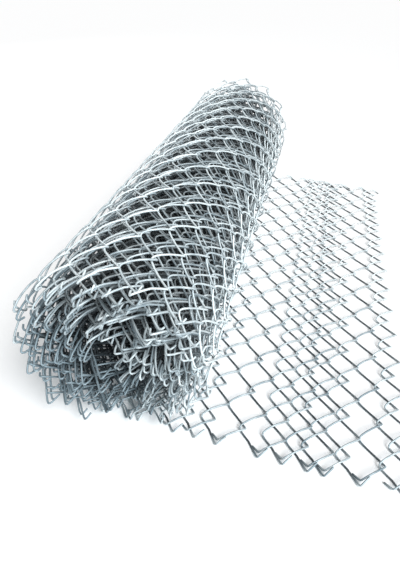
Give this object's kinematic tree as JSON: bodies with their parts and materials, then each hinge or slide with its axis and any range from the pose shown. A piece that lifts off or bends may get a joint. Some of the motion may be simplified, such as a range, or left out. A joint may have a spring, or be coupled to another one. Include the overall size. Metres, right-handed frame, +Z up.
{
  "type": "roll of wire fencing",
  "caption": "Roll of galvanised chain-link wire fencing lying on its side, its last stretch of woven diamond mesh drawn out flat on the floor beside it.",
  "frame": {"origin": "on the floor, under the middle of the box round roll and tail", "axes": "+Y along the roll's axis, away from the near end; +Z up; the drawn-out tail runs towards +X"},
  "size_m": [0.6056, 1.0186, 0.292],
  "materials": {
    "galvanised_wire": "hot-dip galvanised, bright grey"
  },
  "bodies": {
    "root": {"wound_roll": "galvanised_wire", "tail_spiral_01": "galvanised_wire", "tail_spiral_02": "galvanised_wire", "tail_spiral_03": "galvanised_wire", "tail_spiral_04": "galvanised_wire", "tail_spiral_05": "galvanised_wire", "tail_spiral_06": "galvanised_wire", "tail_spiral_07": "galvanised_wire", "tail_spiral_08": "galvanised_wire", "tail_spiral_09": "galvanised_wire", "tail_spiral_10": "galvanised_wire", "tail_spiral_11": "galvanised_wire", "tail_spiral_12": "galvanised_wire", "tail_spiral_13": "galvanised_wire", "tail_spiral_14": "galvanised_wire", "tail_spiral_15": "galvanised_wire", "tail_spiral_16": "galvanised_wire", "tail_spiral_17": "galvanised_wire", "tail_spiral_18": "galvanised_wire"}
  },
  "joints": []
}
